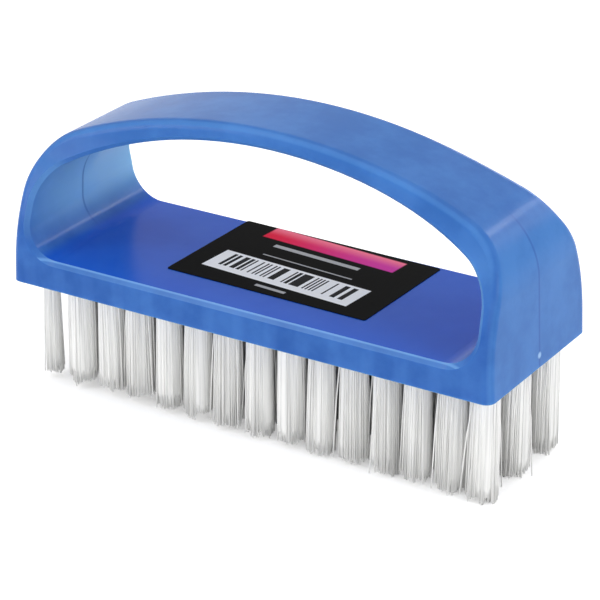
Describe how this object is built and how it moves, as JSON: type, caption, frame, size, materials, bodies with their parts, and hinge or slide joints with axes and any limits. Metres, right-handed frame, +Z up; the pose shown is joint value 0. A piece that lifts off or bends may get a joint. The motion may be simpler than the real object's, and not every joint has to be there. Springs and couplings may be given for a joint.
{
  "type": "nail brush",
  "caption": "Nail brush: a moulded plastic block with an arched strap handle over a finger gap, and stiff bristle tufts set in staggered rows under the block.",
  "frame": {"origin": "centre of the bristle tips' plane, straight below the middle of the block", "axes": "+X along the block and handle, +Y from front to back across the block, +Z up from the bristle tips to the handle's crest"},
  "size_m": [0.095, 0.0342, 0.0551],
  "materials": {
    "body_plastic": "glossy, slightly translucent blue",
    "bristle_nylon": "satin white monofilament",
    "label_film": "printed black film",
    "anchor_wire": "flat drawn wire"
  },
  "bodies": {
    "root": {"brush_body": "body_plastic", "label": "label_film", "tuft_column_01": "bristle_nylon", "tuft_column_02": "bristle_nylon", "tuft_column_03": "bristle_nylon", "tuft_column_04": "bristle_nylon", "tuft_column_05": "bristle_nylon", "tuft_column_06": "bristle_nylon", "tuft_column_07": "bristle_nylon", "tuft_column_08": "bristle_nylon", "tuft_column_09": "bristle_nylon", "tuft_column_10": "bristle_nylon", "tuft_column_11": "bristle_nylon", "tuft_column_12": "bristle_nylon", "tuft_column_13": "bristle_nylon", "tuft_column_14": "bristle_nylon", "tuft_column_15": "bristle_nylon", "tuft_column_16": "bristle_nylon", "tuft_column_17": "bristle_nylon", "tuft_column_18": "bristle_nylon", "tuft_column_19": "bristle_nylon", "tuft_column_20": "bristle_nylon", "tuft_column_21": "bristle_nylon", "tuft_column_22": "bristle_nylon", "tuft_column_23": "bristle_nylon", "tuft_column_24": "bristle_nylon", "tuft_column_25": "bristle_nylon", "tuft_column_26": "bristle_nylon", "tuft_column_27": "bristle_nylon", "tuft_column_28": "bristle_nylon", "tuft_column_29": "bristle_nylon", "anchor_row_1": "anchor_wire", "anchor_row_2": "anchor_wire", "anchor_row_3": "anchor_wire", "anchor_row_4": "anchor_wire", "anchor_row_5": "anchor_wire"}
  },
  "joints": []
}
